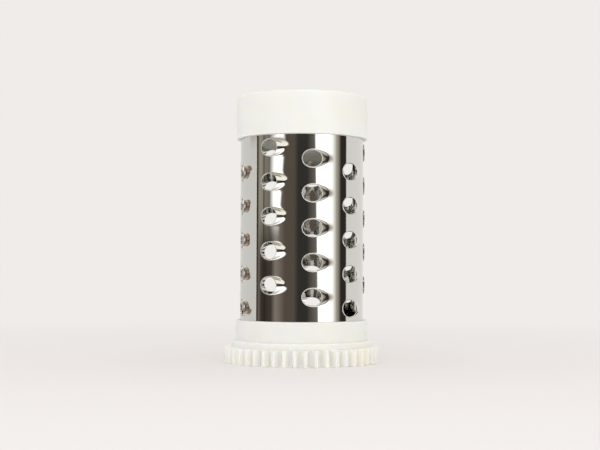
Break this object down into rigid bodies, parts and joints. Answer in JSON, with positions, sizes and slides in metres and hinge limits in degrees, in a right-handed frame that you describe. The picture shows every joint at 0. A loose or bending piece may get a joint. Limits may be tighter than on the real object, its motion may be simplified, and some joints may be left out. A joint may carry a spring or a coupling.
{
  "type": "shredding drum",
  "caption": "Hollow kitchen shredding drum: a polished steel tube with rows of hooded teeth, a plain white collar at one end and a white spur gear at the other.",
  "frame": {"origin": "centre of the gear's outer face, which the drum stands on", "axes": "+Z along the drum's axis, from the gear to the plain collar; -Y is the side that the picture shows"},
  "size_m": [0.048, 0.048, 0.0821],
  "materials": {
    "polished_steel": "bright polished stainless sheet",
    "white_plastic": "moulded, satin"
  },
  "bodies": {
    "root": {"shredding_tube": "polished_steel", "end_collar": "white_plastic", "drive_gear": "white_plastic"}
  },
  "joints": []
}
